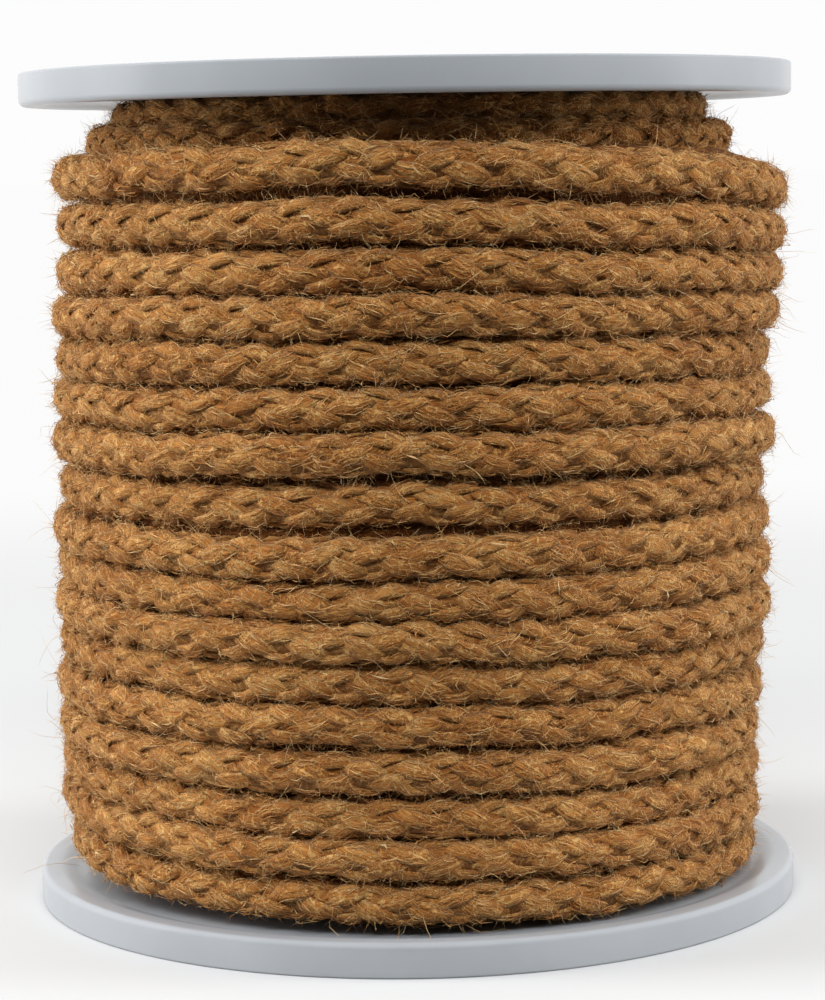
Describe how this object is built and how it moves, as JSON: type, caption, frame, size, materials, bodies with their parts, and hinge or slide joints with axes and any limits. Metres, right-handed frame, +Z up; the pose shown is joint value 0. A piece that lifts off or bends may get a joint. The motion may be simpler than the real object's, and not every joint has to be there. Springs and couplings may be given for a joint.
{
  "type": "jute rope on a spool",
  "caption": "Braided jute rope wound in rows on a flanged plastic spool, standing on its lower flange, with an open bore for a spindle.",
  "frame": {"origin": "centre of the spool's underside, on the surface that it stands on", "axes": "+Z up along the spool's axis, the front faces -Y, +X to the right"},
  "size_m": [0.15, 0.15, 0.1617],
  "materials": {
    "jute": "matt braided jute fibre with loose hairs",
    "spool_plastic": "satin moulded plastic, light grey"
  },
  "bodies": {
    "root": {"spool": "spool_plastic", "rope_winding": "jute"}
  },
  "joints": []
}
